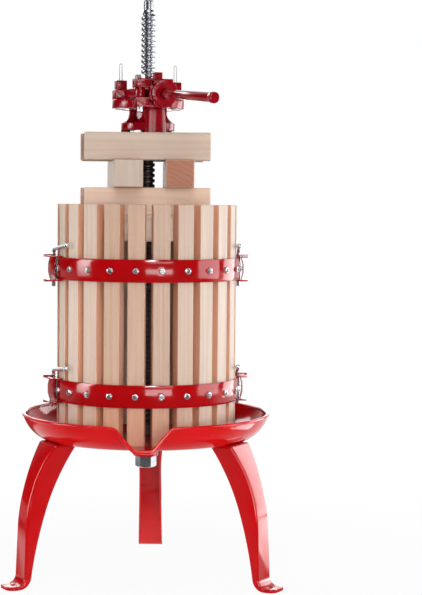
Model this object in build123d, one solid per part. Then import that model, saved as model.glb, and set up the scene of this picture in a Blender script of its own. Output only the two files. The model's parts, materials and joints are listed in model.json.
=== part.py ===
from build123d import *
import math
import os

os.makedirs("parts", exist_ok=True)

# Basket
stave_count = 22
stave_length = 350.0
stave_width = 25.0
stave_thickness = 17.5
stave_edge = 1.2
stave_end_edge = 0.8
stave_pitch_angle = 15.58
rear_stave_turn = 5.0
basket_radius = 118.0
seam_azimuth = -169.7

# Hoops that bind the staves
hoop_height = 33.0
hoop_thickness = 3.2
hoop_crown = 1.2
hoop_clearance = 0.3
hoop_end_gap = 5.8
lower_hoop_rise = 72.0
upper_hoop_rise = 254.0

# Stave bolts
bolt_diameter = 5.0
bolt_clearance = 0.2
bolt_head_diameter = 9.0
bolt_head_depth = 2.4
bolt_nut_flats = 8.0
bolt_nut_height = 3.2
bolt_tip = 1.8

# Hinge brackets and their pins
bracket_sheet = 1.8
bracket_reach = 11.0
bracket_bulge = 3.0
bracket_flat = 12.0
bracket_tail = 9.0
bracket_web_start = 5.4
bracket_nut_room = 1.0
bracket_gap = 0.3
bracket_stand_off = 1.4
bracket_overlap = 3.0
bracket_corner = 4.5
pin_wall = 7.5
pin_diameter = 5.6
pin_clearance = 0.3
pin_stand_off = 1.4
pin_tail = 8.0
pin_neck = 8.0
pin_handle = 62.0
pin_rise = 7.0
pin_bend = 7.0
pin_inward_turn = 11.5
pin_end_diameter = 8.0

# Basin
basin_floor_height = 215.0
basin_sheet = 3.0
basin_floor_margin = 11.0
basin_flare = 29.0
basin_depth = 32.0
basin_bulge = 5.0
rim_bead = 2.6

# Pouring spout
spout_top_width = 83.0
spout_lip_width = 27.0
spout_reach = 39.0
spout_lip_radius = 9.0
spout_shoulder_radius = 9.0
spout_shoulder = 9.0
spout_slope = 20.0
spout_trim = 0.01

# Legs
rear_leg_azimuth = 88.9
leg_sheet = 3.0
leg_tab_length = 33.0
leg_top_bend = 5.0
leg_knee_radius = 205.3
leg_knee_height = 87.0
leg_ankle_offset = 2.7
leg_top_width = 59.0
leg_mid_width = 34.8
leg_mid_height = 120.0
leg_foot_width = 39.0
leg_edge = 4.0
leg_flange_foot = 7.5
leg_flange_bow = 42.4
leg_flange_height = 115.0
heel_radius = 19.0
foot_length = 26.0
foot_thickness = 4.5
foot_bend = 13.0
foot_corner = 12.0
foot_hole_offset = 11.0
foot_hole_diameter = 7.0

# Bolts that hold the legs under the basin
leg_bolt_diameter = 8.0
leg_bolt_clearance = 0.3
leg_bolt_gap = 3.5
leg_bolt_inset = 17.5
leg_bolt_spacing = 28.0
leg_bolt_head = 16.0
leg_bolt_head_height = 4.0
leg_bolt_nut_flats = 13.0
leg_bolt_nut_height = 6.5

# Press screw and its seat under the basin
screw_diameter = 22.0
screw_clearance = 0.3
screw_rise = 657.0
screw_tip_diameter = 15.0
screw_tip_length = 16.0
seat_flange_diameter = 110.0
seat_flange_thickness = 6.0
seat_boss_diameter = 38.0
seat_boss_length = 24.0
screw_nut_flats = 28.0
screw_nut_height = 17.0
screw_nut_turn = 30.0
screw_nut_clearance = 0.1

# Pressing timbers
plate_clearance = 1.5
plate_thickness = 38.0
plate_rise = 296.0
timber_slack = 17.4
timber_width = 42.0
timber_height = 41.0
timber_edge = 1.2
timber_screw_gap = 26.0
front_timber_shift = 0.8
spacer_length = 160.0
spacer_left_x = -34.6
spacer_left_turn = 6.5
spacer_right_x = 46.3
spacer_right_turn = 2.5

# Thrust bell of the ratchet head
head_clearance = 0.3
bell_pad_height = 4.0
bell_base_radius = 41.0
bell_base_height = 11.0
bell_neck_radius = 29.0
bell_height = 36.0
bell_neck_height = 31.0
bell_bore_clearance = 1.5
bell_core_radius = 19.0
bell_waist = 3.0
bell_lobe_azimuth = -70.0
bell_lobes = 3
bell_recess_width = 24.0
bell_pad_width = 30.0
bell_pad_inner = 24.0
bell_column_width = 34.0
bell_column_radius = 40.0

# Ratchet nut
wheel_radius = 55.0
wheel_thickness = 13.5
wheel_pockets = 12
nut_hub_radius = 22.0
nut_collar_radius = 17.0
nut_collar_height = 18.0

# Pawls and their carrier
carrier_thickness = 14.2
carrier_ring_radius = 33.0
carrier_wall = 1.8
carrier_cheek = 4.5
pawl_radius = 43.5
pawl_width = 16.5
pawl_tip_width = 13.0
pawl_thickness = 12.0
pawl_height = 28.4
pawl_tip_height = 9.0
pawl_slant = 8.0
pawl_pocket_clearance = 1.0
wire_diameter = 1.4
wire_gap = 4.0
wire_height = 25.0

# Lever, its socket and the clamp bolt
lever_azimuth = -70.0
lever_droop = 5.0
lever_diameter = 13.0
lever_inner_end = 39.0
lever_outer_end = 281.5
lever_knob_diameter = 16.0
lever_knob_length = 11.0
mouth_radius = 19.5
mouth_length = 15.0
mouth_distance = 77.0
mouth_height = 56.0
socket_half_width = 15.0
socket_front = 70.0
socket_cheek = 13.3
socket_back = 46.5
socket_tongue_start = 25.0
socket_wing = 40.5
clamp_distance = 58.0
clamp_offset = 32.5
clamp_diameter = 8.0
clamp_head_flats = 13.0
clamp_head_height = 5.5
clamp_tail = 7.0
lug_end_radius = 7.8
set_screw_distance = 44.5
set_screw_side = 12.5
set_screw_head = 11.0
set_screw_diameter = 10.0
set_screw_edge = 1.5
lever_knob_edge = 2.5
socket_wall = 3.5
socket_pocket = 9.0
wheel_margin = 1.5

# Heights and radii worked out from the driving dimensions
basin_under = basin_floor_height - basin_sheet
rim_height = basin_floor_height + basin_depth
screw_top = basin_floor_height + screw_rise
plate_bottom = basin_floor_height + plate_rise
half_count = stave_count // 2
seam_angle = (180 - (half_count - 1) * stave_pitch_angle) / 2
stave_outer = basket_radius + stave_thickness
leg_bolt_radius = stave_outer + leg_bolt_head / 2 + leg_bolt_gap
leg_top_radius = leg_bolt_radius + leg_bolt_inset
leg_ankle_radius = leg_knee_radius + leg_ankle_offset
basin_flat_radius = leg_bolt_radius + basin_floor_margin
basin_rim_radius = basin_flat_radius + basin_flare
stave_corner = math.hypot(stave_outer, stave_width / 2 - stave_edge)
hoop_inner = stave_corner + hoop_clearance
hoop_outer = hoop_inner + hoop_thickness
hoop_face = hoop_outer + hoop_crown
hoop_heights = {
    "lower": basin_floor_height + lower_hoop_rise,
    "upper": basin_floor_height + upper_hoop_rise,
}
pin_radius = hoop_face + pin_stand_off
pin_hole_radius = pin_diameter / 2 + pin_clearance
seam_x = pin_radius * math.cos(math.radians(seam_angle))
seam_offset = pin_radius * math.sin(math.radians(seam_angle))
hoop_end_angle = math.degrees(hoop_end_gap / hoop_face)
screw_radius = screw_diameter / 2
screw_hole = screw_radius + screw_clearance
plate_radius = basket_radius - plate_clearance
board_bottom = plate_bottom + plate_thickness
spacer_bottom = board_bottom + timber_height
beam_bottom = spacer_bottom + timber_height
beam_top = beam_bottom + timber_height
timber_offset = (timber_screw_gap + timber_width) / 2
timber_chord = math.sqrt(plate_radius**2 - (timber_offset + timber_width / 2) ** 2)
timber_length = 2 * timber_chord - timber_slack
rear_timber_shift = timber_length / 2 - timber_chord
wheel_bottom = bell_height + head_clearance
wheel_top = wheel_bottom + wheel_thickness
carrier_bottom = wheel_top + head_clearance
carrier_top = carrier_bottom + carrier_thickness
socket_top = carrier_top + head_clearance + socket_cheek
socket_bottom = carrier_bottom - head_clearance - socket_cheek
pawl_bottom = wheel_top + head_clearance
leg_azimuths = {
    "leg_rear": rear_leg_azimuth,
    "leg_left": rear_leg_azimuth + 120,
    "leg_right": rear_leg_azimuth + 240,
}
leg_tab_end = (leg_top_radius - leg_tab_length, basin_under)
leg_ankle = (leg_ankle_radius, foot_thickness + foot_bend)
leg_bolt_hole = leg_bolt_diameter / 2 + leg_bolt_clearance
foot_hole_radius = leg_ankle_radius + foot_hole_offset
bracket_root = hoop_face + bracket_stand_off + bracket_sheet / 2
inner_flange_rise = hoop_height / 2 + bracket_gap + bracket_sheet / 2
outer_flange_rise = inner_flange_rise + bracket_gap + bracket_sheet
bracket_rises = {"front": inner_flange_rise, "rear": outer_flange_rise}
web_ends = {"front": seam_offset + bracket_overlap, "rear": seam_offset - pin_wall - bracket_sheet}
clamp_hole = clamp_diameter / 2 + head_clearance
set_screw_hole = set_screw_diameter / 2 + head_clearance
lever_bore = lever_diameter / 2 + head_clearance


def save(name, solids):
    """Write one piece, or a group of equal pieces, under its own name."""
    export_step(Compound(children=list(solids)), f"parts/{name}.step")


def span(x_range, y_range, z_range):
    """A box between three pairs of limits."""
    low = (x_range[0], y_range[0], z_range[0])
    size = [pair[1] - pair[0] for pair in (x_range, y_range, z_range)]
    return Pos(*low) * Box(*size, align=(Align.MIN, Align.MIN, Align.MIN))


def upright(radius, bottom, top, x=0.0, y=0.0):
    """A vertical cylinder between two heights."""
    base = (Align.CENTER, Align.CENTER, Align.MIN)
    return Pos(x, y, bottom) * Cylinder(radius, top - bottom, align=base)


def hexagon(flats, bottom, top, x=0.0, y=0.0, turn=0.0):
    """A vertical hexagonal prism, given across its flats."""
    outline = RegularPolygon(flats / 2, 6, major_radius=False)
    return Pos(x, y, bottom) * Rot(0, 0, turn) * extrude(outline, top - bottom)


def spoke(radius, start, end, height):
    """A cylinder that lies along +X between two distances from the axis."""
    base = (Align.CENTER, Align.CENTER, Align.MIN)
    return Pos(start, 0, height) * Rot(0, 90, 0) * Cylinder(radius, end - start, align=base)


def turned(azimuth):
    """Turn a piece made along +X to its place round the screw."""
    return Rot(0, 0, azimuth)


def stave_azimuth(index):
    """Direction of a stave; the rear half starts half a turn on, its staves turned to close the gaps."""
    half, place = divmod(index, half_count)
    return seam_azimuth + half * (180 + rear_stave_turn) + seam_angle + place * stave_pitch_angle


# Basin with its pouring spout

def bowl(inset):
    """The basin as a solid of revolution, its skin moved inward by inset."""
    wall = SagittaArc((basin_flat_radius, basin_under), (basin_rim_radius, rim_height), -basin_bulge)
    centre = wall.arc_center
    radius = wall.radius - inset
    floor = basin_under + inset
    start_x = centre.X + math.sqrt(radius**2 - (centre.Y - floor) ** 2)
    end_x = centre.X + math.sqrt(radius**2 - (centre.Y - rim_height) ** 2)
    middle = math.radians(-45)
    bulge = (centre.X + radius * math.cos(middle), centre.Y + radius * math.sin(middle))
    outline = (
        Line((0, floor), (start_x, floor))
        + ThreePointArc((start_x, floor), bulge, (end_x, rim_height))
        + Polyline((end_x, rim_height), (0, rim_height), (0, floor))
    )
    return revolve(Plane.XZ * make_face(outline), Axis.Z)


def spout_path(drop):
    """The notch seen from the front: shoulder, side, lip, side and shoulder."""
    half_top = spout_top_width / 2
    half_lip = spout_lip_width / 2
    lip = -basin_depth - basin_sheet + drop
    points = [
        (-half_top - spout_shoulder, 0),
        (-half_top, 0),
        (-half_lip, lip),
        (half_lip, lip),
        (half_top, 0),
        (half_top + spout_shoulder, 0),
    ]
    radii = [spout_shoulder_radius, spout_lip_radius, spout_lip_radius, spout_shoulder_radius]
    return FilletPolyline(*points, radius=radii)


def spout_prism(drop, height):
    """The inside of the spout, drawn out from the axis side past the lip."""
    path = spout_path(drop)
    cap = Polyline(path @ 1, path @ 1 + Vector(0, height), path @ 0 + Vector(0, height), path @ 0)
    section = Pos(0, 0, rim_height) * (Plane.XZ * make_face(path + cap))
    prism = extrude(section, basin_flat_radius + spout_reach + rim_bead)
    inside = upright(basin_flat_radius - spout_reach, 0, screw_top)
    return prism - inside


def make_basin():
    front = -basin_flat_radius - spout_reach
    lip_plane = Pos(0, front, basin_under) * Rot(-spout_slope, 0, 0)
    reach = 2 * basin_rim_radius
    beyond = lip_plane * span((-reach, reach), (-reach, 0), (-reach, reach))
    spout = spout_prism(0, spout_trim) - beyond
    body = bowl(0) + spout
    body -= bowl(basin_sheet)
    body -= spout_prism(basin_sheet, basin_depth)
    bead_ring = Pos(0, 0, rim_height) * Torus(basin_rim_radius - basin_sheet / 2, rim_bead)
    opening = spout_top_width + 2 * spout_shoulder
    bead_ring -= span((-opening / 2, opening / 2), (-reach, 0), (0, reach))
    lip_run = basin_depth + basin_sheet
    lip_face = Plane(
        origin=(0, front + lip_run * math.tan(math.radians(spout_slope)), rim_height),
        x_dir=(1, 0, 0),
        z_dir=(0, -math.cos(math.radians(spout_slope)), math.sin(math.radians(spout_slope))),
    )
    edge = lip_face * spout_path(basin_sheet / 2)
    bead_edge = sweep(Plane(origin=edge @ 0, z_dir=edge % 0) * Circle(rim_bead), edge)
    return body + bead_ring + bead_edge - upright(screw_hole, 0, rim_height)


# Legs, pressed as open channels with a drilled foot

def leg_skin():
    """The outer face of the leg seen from the side: its tab, its bow and its shin."""
    tab = Line(leg_tab_end, (leg_top_radius, basin_under))
    shin = Line(leg_ankle, (leg_knee_radius, leg_knee_height))
    return tab + TangentArc(shin @ 1, tab @ 1, tangent=shin % 1) + shin


def leg_outline():
    """The leg seen from the side, with its flanges and its turned-out foot."""
    tip = leg_ankle_radius + foot_length
    bend_end = (leg_ankle_radius + foot_bend, foot_thickness)
    heel = (leg_ankle_radius - leg_flange_foot, 0)
    waist = (leg_top_radius - leg_tab_length + leg_flange_bow, leg_flange_height)
    tab_under = (leg_top_radius - leg_tab_length, basin_under - leg_sheet)
    sole = Polyline(bend_end, (tip, foot_thickness), (tip, 0), heel)
    flange = ThreePointArc(heel, waist, tab_under) + Line(tab_under, leg_tab_end)
    outline = make_face(leg_skin() + RadiusArc(leg_ankle, bend_end, -foot_bend) + sole + flange)
    heel_corner = outline.vertices().sort_by_distance((*heel, 0))[0]
    outline = fillet(heel_corner, heel_radius)
    top_corner = outline.vertices().sort_by_distance((leg_top_radius, basin_under, 0))[0]
    return fillet(top_corner, leg_top_bend)


def leg_hollow():
    """The space inside the channel, seen from the side."""
    inner_edge = Polyline(leg_ankle, (leg_ankle_radius, 0), (0, 0), (0, basin_under), leg_tab_end)
    return offset(make_face(leg_skin() + inner_edge), -leg_sheet)


def leg_front():
    """The leg seen from outside: slim at the waist and wide under the basin."""
    lower = Line((leg_foot_width / 2, 0), (leg_mid_width / 2, leg_mid_height))
    upper = TangentArc(lower @ 1, (leg_top_width / 2, basin_under), tangent=lower % 1)
    right = lower + upper
    left = mirror(right, Plane.YZ)
    across = Line(upper @ 1, (-leg_top_width / 2, basin_under))
    across += Line((-leg_foot_width / 2, 0), lower @ 0)
    return make_face(right + left + across)


def leg_plan():
    """The leg seen from above: as wide as its top, with a rounded toe."""
    half = leg_foot_width / 2
    tip = leg_ankle_radius + foot_length
    toe = make_face(Polyline((0, -half), (tip, -half), (tip, half), (0, half), close=True))
    toe = fillet(toe.vertices().group_by(Axis.X)[-1], foot_corner)
    return toe + Pos(leg_knee_radius / 2, 0) * Rectangle(leg_knee_radius, leg_top_width)


def shin_edges(body):
    """The two long edges where the shin turns into the flanges."""
    middle = ((leg_ankle_radius + leg_knee_radius) / 2, 0, (leg_ankle[1] + leg_knee_height) / 2)
    sides = body.edges().filter_by(lambda edge: abs(edge.center().Y) > foot_thickness)
    return sides.sort_by_distance(middle)[:2]


def make_leg():
    reach = leg_ankle_radius + foot_length
    front = leg_front()
    body = extrude(Plane.XZ * leg_outline(), leg_top_width, both=True)
    body = body & extrude(Plane.YZ * front, reach)
    body = body & extrude(leg_plan(), basin_under)
    body = fillet(shin_edges(body), leg_edge)
    hollow = extrude(Plane.XZ * leg_hollow(), leg_top_width, both=True)
    hollow = hollow & extrude(Plane.YZ * offset(front, -leg_sheet), reach)
    body -= hollow
    body -= upright(foot_hole_diameter / 2, 0, foot_thickness + foot_bend, foot_hole_radius)
    for y in (-leg_bolt_spacing / 2, leg_bolt_spacing / 2):
        body -= upright(leg_bolt_hole, basin_under - leg_sheet, basin_under, leg_bolt_radius, y)
    return body


def make_leg_bolt():
    """Round-headed bolt and nut through the basin floor and a leg tab."""
    nut_top = basin_under - leg_sheet
    nut_bottom = nut_top - leg_bolt_nut_height
    bolt = upright(leg_bolt_diameter / 2, nut_bottom, basin_floor_height, leg_bolt_radius)
    head_top = basin_floor_height + leg_bolt_head_height
    bolt += upright(leg_bolt_head / 2, basin_floor_height, head_top, leg_bolt_radius)
    bolt += hexagon(leg_bolt_nut_flats, nut_bottom, nut_top, leg_bolt_radius)
    return bolt


# Basket: staves, hoops, brackets, bolts and pins

def bolt_hole(outer, height):
    """A bolt's way through, with its countersink at the inner face."""
    radius = bolt_diameter / 2 + bolt_clearance
    head_radius = bolt_head_diameter / 2 + bolt_clearance
    base = (Align.CENTER, Align.CENTER, Align.MIN)
    sink = Rot(0, 90, 0) * Cone(head_radius, radius, bolt_head_depth, align=base)
    return spoke(radius, basket_radius, outer, height) + Pos(basket_radius, 0, height) * sink


def make_stave():
    bottom = basin_floor_height
    stave = span(
        (basket_radius, stave_outer),
        (-stave_width / 2, stave_width / 2),
        (bottom, bottom + stave_length),
    )
    stave = fillet(stave.edges().filter_by(Axis.Z), stave_edge)
    stave = chamfer(stave.edges().group_by(Axis.Z)[-1], stave_end_edge)
    for height in hoop_heights.values():
        stave -= bolt_hole(stave_outer, height)
    return stave


def make_half_hoop(turn):
    """One half of a hoop at floor height, from the seam along +X round to the other seam."""
    half = hoop_height / 2
    outline = Polyline((hoop_outer, -half), (hoop_inner, -half), (hoop_inner, half), (hoop_outer, half))
    crown = ThreePointArc((hoop_outer, half), (hoop_face, 0), (hoop_outer, -half))
    section = Plane.XZ * make_face(outline + crown)
    hoop = turned(hoop_end_angle) * revolve(section, Axis.Z, 180 - 2 * hoop_end_angle)
    hole = spoke(bolt_diameter / 2 + bolt_clearance, basket_radius, hoop_face + hoop_thickness, 0)
    for place in range(half_count):
        hoop -= turned(seam_angle + turn + place * stave_pitch_angle) * hole
    return hoop


def make_bracket(azimuth, side, half_name):
    """Channel bracket whose flanges clasp the hoop's end and reach over the seam to the pin."""
    half_sheet = bracket_sheet / 2
    half_flat = bracket_flat / 2
    flange_rise = bracket_rises[half_name]
    web_end = web_ends[half_name]
    inner = [
        (bracket_root - half_sheet, -flange_rise),
        (bracket_root + bracket_bulge - half_sheet, -half_flat),
        (bracket_root + bracket_bulge - half_sheet, half_flat),
        (bracket_root - half_sheet, flange_rise),
    ]
    outer = [(r + bracket_sheet, z) for r, z in reversed(inner)]
    web = extrude(Plane.XZ * make_face(Polyline(*inner, *outer, close=True)), web_end - bracket_web_start)
    bracket = Pos(0, web_end, 0) * web
    for z in (-flange_rise, flange_rise):
        flange = span(
            (hoop_inner + hoop_clearance, bracket_root + bracket_reach),
            (-bracket_tail, seam_offset + pin_wall),
            (z - half_sheet, z + half_sheet),
        )
        bracket += fillet(flange.edges().filter_by(Axis.Z), bracket_corner)
    bracket -= upright(pin_hole_radius, -hoop_height, hoop_height, seam_x, seam_offset)
    if side < 0:
        bracket = mirror(bracket, Plane.XZ)
    return turned(azimuth) * bracket


def make_stave_bolt(index, height):
    """Countersunk bolt from the inside with its nut on the hoop."""
    base = (Align.CENTER, Align.CENTER, Align.MIN)
    head = Cone(bolt_head_diameter / 2, bolt_diameter / 2, bolt_head_depth, align=base)
    nut = extrude(RegularPolygon(bolt_nut_flats / 2, 6, major_radius=False), bolt_nut_height)
    bolt = spoke(bolt_diameter / 2, basket_radius, hoop_face + bolt_nut_height + bolt_tip, 0)
    bolt += Pos(basket_radius, 0, 0) * Rot(0, 90, 0) * head
    bolt += Pos(hoop_face, 0, 0) * Rot(0, 90, 0) * nut
    return Pos(0, 0, height) * turned(stave_azimuth(index)) * bolt


def make_pin(azimuth, side, height):
    """Bent steel pin: a straight shank, a bend and a rising handle with a rounded end."""
    bottom = -outer_flange_rise - pin_tail
    neck = outer_flange_rise + pin_neck
    turn = math.radians(pin_inward_turn)
    end = (-pin_handle * math.sin(turn), side * pin_handle * math.cos(turn), neck + pin_rise)
    path = FilletPolyline((0, 0, bottom), (0, 0, neck), end, radius=pin_bend)
    pin = sweep(Plane(origin=path @ 0, z_dir=path % 0) * Circle(pin_diameter / 2), path)
    pin += Pos(*end) * Sphere(pin_end_diameter / 2)
    return Pos(0, 0, height) * turned(azimuth) * Pos(pin_radius, 0, 0) * pin


# Pressing timbers

def make_timber(length, width, bottom):
    timber = span(
        (-length / 2, length / 2),
        (-width / 2, width / 2),
        (bottom, bottom + timber_height),
    )
    return chamfer(timber.edges(), timber_edge)


def make_plate_half(side):
    """Half-moon pressing board with a notch for the screw."""
    disc = upright(plate_radius, plate_bottom, board_bottom)
    disc = chamfer(disc.edges().filter_by(GeomType.CIRCLE), timber_edge)
    disc -= upright(timber_screw_gap / 2, plate_bottom, board_bottom)
    limits = sorted((0, side * basket_radius))
    return disc & span(limits, (-basket_radius, basket_radius), (plate_bottom, board_bottom))


# Ratchet head, made round the lever's direction with heights above the beams

def on_head(piece):
    return Pos(0, 0, beam_top) * turned(lever_azimuth) * piece


def make_bell():
    """Cast bell on three pads, flared to its base, with recesses between its lobes and one plain column."""
    base_top = bell_pad_height + bell_base_height
    bore = screw_hole + bell_bore_clearance
    flare = SagittaArc((bell_base_radius, base_top), (bell_neck_radius, bell_neck_height), bell_waist)
    outline = flare + Polyline(
        flare @ 1,
        (bell_neck_radius, bell_height),
        (bore, bell_height),
        (bore, bell_pad_height),
        (bell_base_radius, bell_pad_height),
        flare @ 0,
    )
    bell = revolve(Plane.XZ * make_face(outline), Axis.Z)
    reach = bell_base_radius + bell_base_height
    half = bell_recess_width / 2
    spring = base_top + half
    recess = span((bell_core_radius, reach), (-half, half), (spring, bell_neck_height))
    recess += spoke(half, bell_core_radius, reach, spring)
    pad = span((bell_pad_inner, reach), (-bell_pad_width / 2, bell_pad_width / 2), (0, bell_pad_height))
    pad = pad & upright(bell_base_radius, 0, bell_pad_height)
    for lobe in range(bell_lobes):
        azimuth = bell_lobe_azimuth + lobe * 360 / bell_lobes
        bell += turned(azimuth) * pad
        bell -= turned(azimuth + 180 / bell_lobes) * recess
    sides = (-bell_column_width / 2, bell_column_width / 2)
    column = span((bell_pad_inner, reach), sides, (0, bell_height))
    column = column & upright(bell_column_radius, 0, bell_height)
    return Pos(0, 0, beam_top) * (bell + turned(bell_lobe_azimuth) * column)


def make_ratchet_nut():
    """Ratchet wheel with a ring of pawl pockets, its hub and its threaded collar."""
    nut = upright(wheel_radius, wheel_bottom, wheel_top)
    nut += upright(nut_hub_radius, wheel_top, carrier_top)
    nut += upright(nut_collar_radius, carrier_top, carrier_top + nut_collar_height)
    half_length = pawl_tip_width / 2 + pawl_pocket_clearance
    half_width = pawl_thickness / 2 + head_clearance
    pocket = span(
        (-half_width, half_width),
        (pawl_radius - half_length, pawl_radius + half_length),
        (wheel_bottom, wheel_top),
    )
    for index in range(wheel_pockets):
        nut -= turned(index * 360 / wheel_pockets) * pocket
    return on_head(nut - upright(screw_hole, 0, screw_top))


def make_carrier():
    """Ring on the ratchet wheel with a guide for each pawl and a lug for the socket."""
    guide_half = pawl_thickness / 2 + head_clearance
    guide_inner = pawl_radius - pawl_width / 2 - head_clearance
    guide_outer = pawl_radius + pawl_width / 2 + head_clearance
    heights = (carrier_bottom, carrier_top)
    carrier = upright(carrier_ring_radius, *heights)
    arm_half = guide_half + carrier_cheek
    arm_end = guide_outer + carrier_wall
    carrier += span((-arm_half, arm_half), (-arm_end, arm_end), heights)
    lug_sides = (-clamp_offset - lug_end_radius, -clamp_offset + lug_end_radius)
    carrier += span((0, clamp_distance), lug_sides, heights)
    carrier += upright(lug_end_radius, *heights, clamp_distance, -clamp_offset)
    carrier -= upright(clamp_hole, *heights, clamp_distance, -clamp_offset)
    carrier -= upright(nut_hub_radius + head_clearance, *heights)
    for limits in ((guide_inner, guide_outer), (-guide_outer, -guide_inner)):
        carrier -= span((-guide_half, guide_half), limits, heights)
    return on_head(carrier)


def make_pawl(side):
    """Drop pawl: a flat bar with a narrow slanted tip; the two face opposite ways round the wheel."""
    half = pawl_thickness / 2
    tip_top = pawl_bottom + pawl_tip_height
    tip = span((-half, half), (-pawl_tip_width / 2, pawl_tip_width / 2), (pawl_bottom, tip_top))
    slant_edge = tip.edges().filter_by(Axis.Y).group_by(Axis.Z)[0].sort_by(Axis.X)[0]
    tip = chamfer(slant_edge, pawl_slant)
    bar = span((-half, half), (-pawl_width / 2, pawl_width / 2), (tip_top, pawl_bottom + pawl_height))
    return on_head(Pos(0, side * pawl_radius, 0) * turned(90 - side * 90) * (bar + tip))


def make_wire(side):
    """Hairpin of wire that stands in the top of a pawl and pulls it up."""
    half = wire_gap / 2
    top = wire_height - half
    path = Line((0, -half, 0), (0, -half, top))
    path += ThreePointArc((0, -half, top), (0, 0, wire_height), (0, half, top))
    path += Line((0, half, top), (0, half, 0))
    wire = sweep(Plane(origin=path @ 0, z_dir=path % 0) * Circle(wire_diameter / 2), path)
    return on_head(Pos(0, side * pawl_radius, pawl_bottom + pawl_height) * wire)


def along_lever(piece):
    """Place a piece made along +X on the lever's drooping axis, from the socket mouth."""
    return Pos(mouth_distance, 0, mouth_height) * Rot(0, lever_droop, 0) * piece


def make_socket():
    """Forked casting: two cheeks over and under the lug, and a round mouth for the lever."""
    over = carrier_top + head_clearance
    under = carrier_bottom - head_clearance
    gap_end = -clamp_offset + lug_end_radius + socket_wall
    sides = (-socket_half_width, socket_half_width)
    heights = (socket_bottom, socket_top)
    socket = span((carrier_ring_radius, socket_front - socket_wall), sides, heights)
    socket += span((socket_tongue_start, socket_front), sides, (over, socket_top))
    socket += span((socket_back, socket_front), (-socket_wing, 0), (over, socket_top))
    socket += span((socket_back, socket_front), (-socket_wing, 0), (socket_bottom, under))
    socket += span((socket_back, socket_front), (gap_end, 0), heights)
    for low, high in ((socket_bottom, under), (over, socket_top)):
        socket -= span(
            (socket_front - socket_pocket, socket_front),
            (gap_end, -socket_half_width),
            (low + socket_wall, high - socket_wall),
        )
    socket -= upright(carrier_ring_radius + head_clearance, 0, over)
    socket -= upright(wheel_radius + wheel_margin, 0, under)
    socket += along_lever(spoke(mouth_radius, -mouth_length, 0, 0))
    bore_start = lever_inner_end - mouth_distance - socket_wall
    socket -= along_lever(spoke(lever_bore, bore_start, mouth_length, 0))
    socket -= upright(clamp_hole, *heights, clamp_distance, -clamp_offset)
    return on_head(socket - upright(set_screw_hole, mouth_height, socket_top, set_screw_distance))


def make_clamp_bolt():
    bottom = socket_bottom - clamp_tail
    head_top = socket_top + clamp_head_height
    bolt = upright(clamp_diameter / 2, bottom, socket_top, clamp_distance, -clamp_offset)
    bolt += hexagon(clamp_head_flats, socket_top, head_top, clamp_distance, -clamp_offset)
    return on_head(bolt)


def make_set_screw():
    """Square-headed screw that bears on the lever inside the socket."""
    droop = math.radians(lever_droop)
    shank_radius = set_screw_diameter / 2
    axis_height = mouth_height + (mouth_distance - set_screw_distance) * math.tan(droop)
    tip = axis_height + lever_bore / math.cos(droop) + shank_radius * math.tan(droop)
    shank = upright(shank_radius, tip, socket_top, set_screw_distance)
    half = set_screw_side / 2
    head = span(
        (set_screw_distance - half, set_screw_distance + half),
        (-half, half),
        (socket_top, socket_top + set_screw_head),
    )
    head = chamfer(head.edges().filter_by(Axis.Z), set_screw_edge)
    return on_head(shank + head)


def make_lever():
    knob_start = lever_outer_end - lever_knob_length - mouth_distance
    knob = spoke(lever_knob_diameter / 2, knob_start, lever_outer_end - mouth_distance, 0)
    knob = fillet(knob.edges().filter_by(GeomType.CIRCLE), lever_knob_edge)
    bar = spoke(lever_diameter / 2, lever_inner_end - mouth_distance, knob_start, 0)
    return on_head(along_lever(bar + knob))


# Base

leg_bolts = []
basin = make_basin()
leg = make_leg()
for leg_name, leg_azimuth in leg_azimuths.items():
    save(leg_name, [turned(leg_azimuth) * leg])
    for bolt_y in (-leg_bolt_spacing / 2, leg_bolt_spacing / 2):
        leg_bolts.append(turned(leg_azimuth) * Pos(0, bolt_y, 0) * make_leg_bolt())
        basin -= turned(leg_azimuth) * upright(
            leg_bolt_hole, basin_under, basin_floor_height, leg_bolt_radius, bolt_y
        )
save("basin", [basin])
save("leg_fasteners", leg_bolts)

seat_top = basin_under
boss_bottom = seat_top - seat_flange_thickness - seat_boss_length
seat = upright(seat_flange_diameter / 2, seat_top - seat_flange_thickness, seat_top)
seat += upright(seat_boss_diameter / 2, boss_bottom, seat_top)
save("screw_seat", [seat - upright(screw_hole, 0, seat_top)])

screw_bottom = boss_bottom - screw_nut_height
screw = upright(screw_radius, screw_bottom, screw_top - screw_tip_length)
screw += upright(screw_tip_diameter / 2, screw_top - screw_tip_length, screw_top)
save("screw", [screw])

nut_bottoms = (screw_bottom, basin_floor_height)
screw_nuts = [hexagon(screw_nut_flats, z, z + screw_nut_height, turn=screw_nut_turn) for z in nut_bottoms]
screw_bore = upright(screw_radius + screw_nut_clearance, 0, screw_top)
save("screw_nuts", [nut - screw_bore for nut in screw_nuts])

# Basket

stave = make_stave()
for stave_index in range(stave_count):
    save(f"stave_{stave_index + 1:02d}", [turned(stave_azimuth(stave_index)) * stave])

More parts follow.
